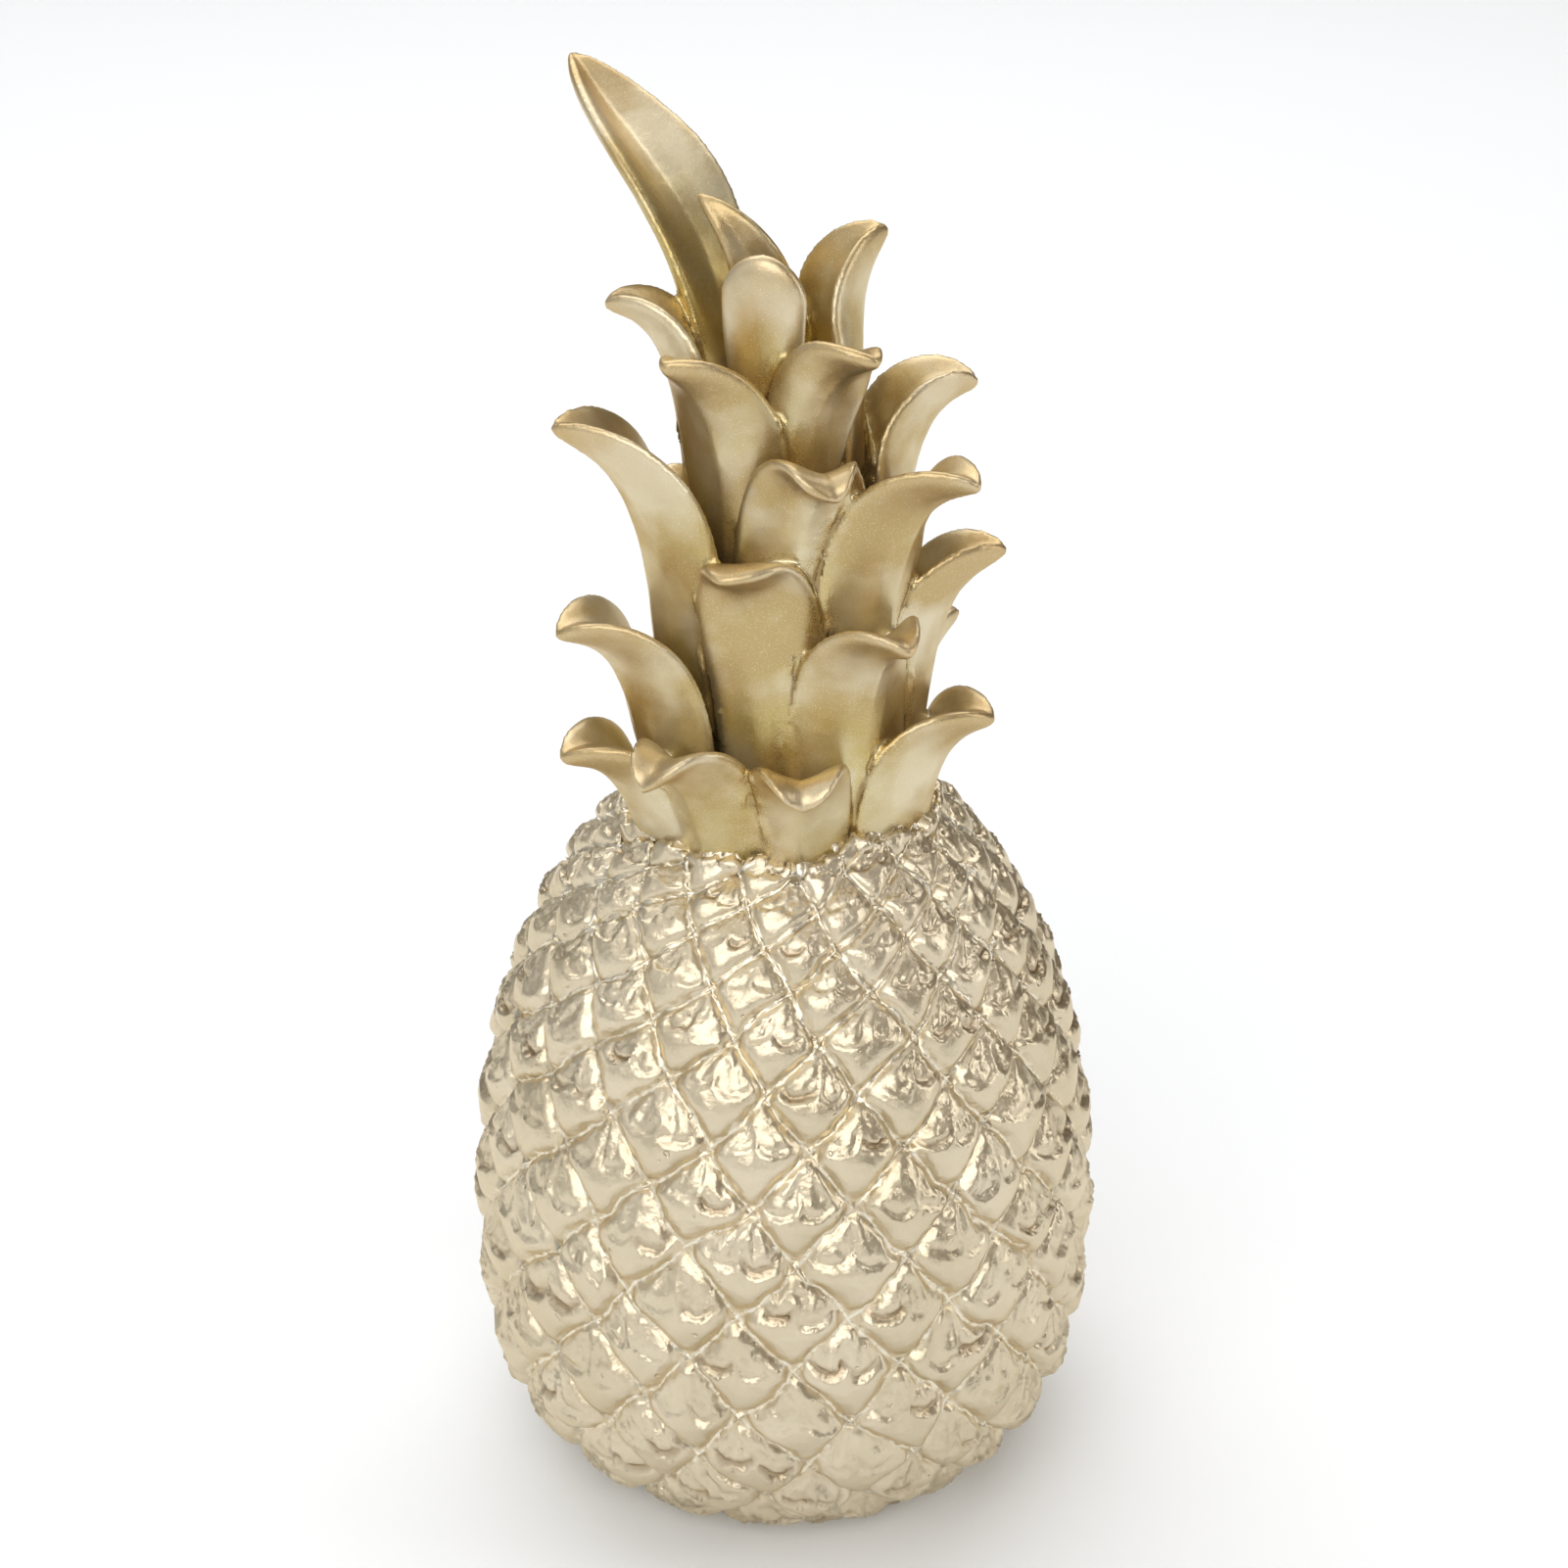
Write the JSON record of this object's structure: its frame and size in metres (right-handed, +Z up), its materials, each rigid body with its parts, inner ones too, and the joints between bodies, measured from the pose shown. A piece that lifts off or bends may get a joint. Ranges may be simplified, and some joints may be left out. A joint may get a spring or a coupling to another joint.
{
  "type": "pineapple ornament",
  "caption": "Standing decorative pineapple: bulging fruit with a spiral of raised rhombic eyes, flat underside and a crown of thick channelled leaves.",
  "frame": {"origin": "centre of the flat underside", "axes": "+Z up the axis of the fruit, -Y towards the front that the picture shows, +X to the right seen from the front"},
  "size_m": [0.1055, 0.1055, 0.2328],
  "materials": {
    "gold_paint": "cast polyresin painted champagne gold, satin with glossy pools in the creases"
  },
  "bodies": {
    "root": {"pineapple": "gold_paint"}
  },
  "joints": []
}
